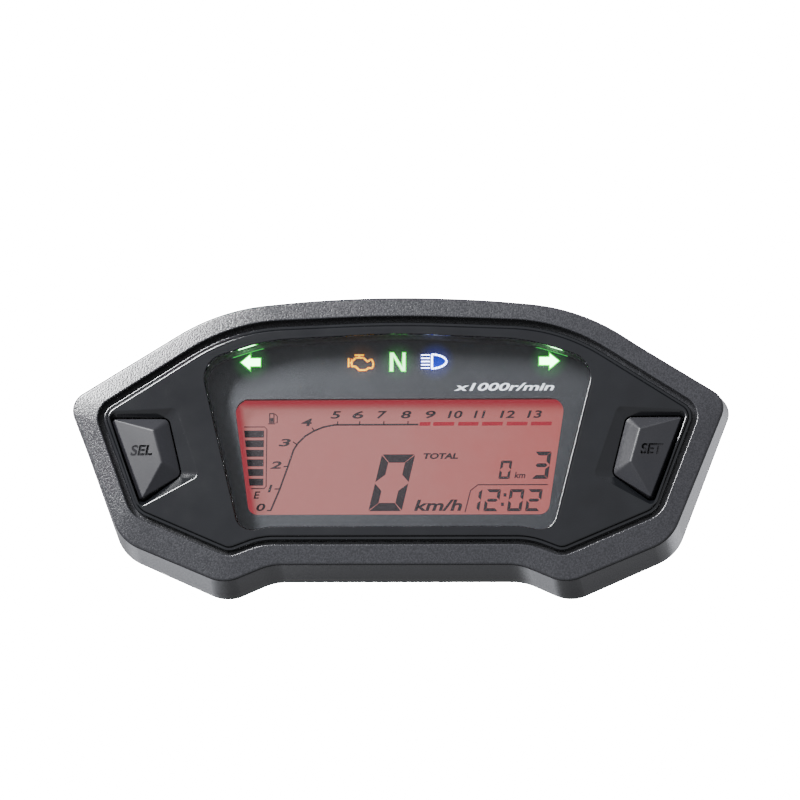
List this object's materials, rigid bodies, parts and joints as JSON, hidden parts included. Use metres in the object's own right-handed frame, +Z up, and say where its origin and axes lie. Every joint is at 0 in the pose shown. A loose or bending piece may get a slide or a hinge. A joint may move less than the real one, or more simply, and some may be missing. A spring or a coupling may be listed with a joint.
{
  "type": "motorcycle instrument cluster",
  "caption": "LCD instrument cluster with a faceted bezel, telltale lamps, two side push buttons, rear threaded inserts and a rear harness socket.",
  "frame": {"origin": "middle of the two rear threaded inserts, on the mounting plane", "axes": "dial faces -Y, +Z up, +X to the rider's right as the dial is read; +Y points out of the back towards the bracket"},
  "size_m": [0.1594, 0.0425, 0.0743],
  "materials": {
    "bezel_plastic": "spark-eroded grain",
    "panel_black": "high gloss",
    "clear_window": "polished",
    "seal_rubber": "matt",
    "carrier_plastic": "fine matt",
    "dial_film": "fine texture",
    "green_lens": "translucent",
    "amber_lens": "translucent",
    "blue_lens": "translucent",
    "white_plastic": "matt",
    "led_white": "gloss",
    "foam_black": "foam",
    "polariser_film": "matt film",
    "lcd_glass": "polished",
    "pin_metal": "tin plated",
    "diffuser_film": "frosted",
    "acrylic_guide": "clear, dotted back",
    "pcb_green": "solder mask",
    "chip_black": "moulded epoxy",
    "capacitor_can": "sleeved can",
    "crystal_can": "drawn can",
    "button_black": "soft matt",
    "switch_body": "matt",
    "silicone_red": "silicone",
    "housing_black": "satin",
    "insert_brass": "knurled, turned",
    "socket_plastic": "nylon",
    "screw_steel": "zinc plated",
    "vent_white": "expanded membrane"
  },
  "bodies": {
    "root": {"front_bezel": "bezel_plastic", "gloss_panel": "panel_black", "window_lens": "clear_window", "panel_seal": "seal_rubber", "mask_carrier": "carrier_plastic", "dial_plate": "dial_film", "turn_signal_lenses": "green_lens", "engine_lens": "amber_lens", "neutral_lens": "green_lens", "high_beam_lens": "blue_lens", "telltale_light_box": "white_plastic", "telltale_leds": "led_white", "lcd_foam_gasket": "foam_black", "lcd_front_polariser": "polariser_film", "lcd_front_glass": "lcd_glass", "lcd_rear_glass": "lcd_glass", "lcd_rear_polariser": "polariser_film", "lcd_pins": "pin_metal", "diffuser_sheet": "diffuser_film", "light_guide": "acrylic_guide", "reflector_sheet": "diffuser_film", "backlight_frame": "white_plastic", "backlight_leds": "led_white", "main_pcb": "pcb_green", "microcontroller": "chip_black", "lcd_driver_chip": "chip_black", "voltage_regulator": "chip_black", "capacitors": "capacitor_can", "quartz_crystal": "crystal_can", "chip_resistors": "chip_black", "tactile_switches": "switch_body", "button_seals": "silicone_red", "rear_housing": "housing_black", "housing_gasket": "seal_rubber", "mount_inserts": "insert_brass", "connector_shell": "socket_plastic", "connector_pins": "insert_brass", "case_screws": "screw_steel", "pcb_screws": "screw_steel", "vent_plug": "housing_black", "vent_membrane": "vent_white"},
    "sel_button_body": {"sel_button": "button_black", "sel_switch_plunger": "switch_body"},
    "set_button_body": {"set_button": "button_black", "set_switch_plunger": "switch_body"}
  },
  "joints": [
    {"name": "sel_button_press", "type": "slide", "parent": "root", "child": "sel_button_body", "axis": [0, 1, 0], "range_m": [0, 0.001], "stiffness_N_per_m": 2000, "springref_m": -0.0005},
    {"name": "set_button_press", "type": "slide", "parent": "root", "child": "set_button_body", "axis": [0, 1, 0], "range_m": [0, 0.001], "stiffness_N_per_m": 2000, "springref_m": -0.0005}
  ]
}
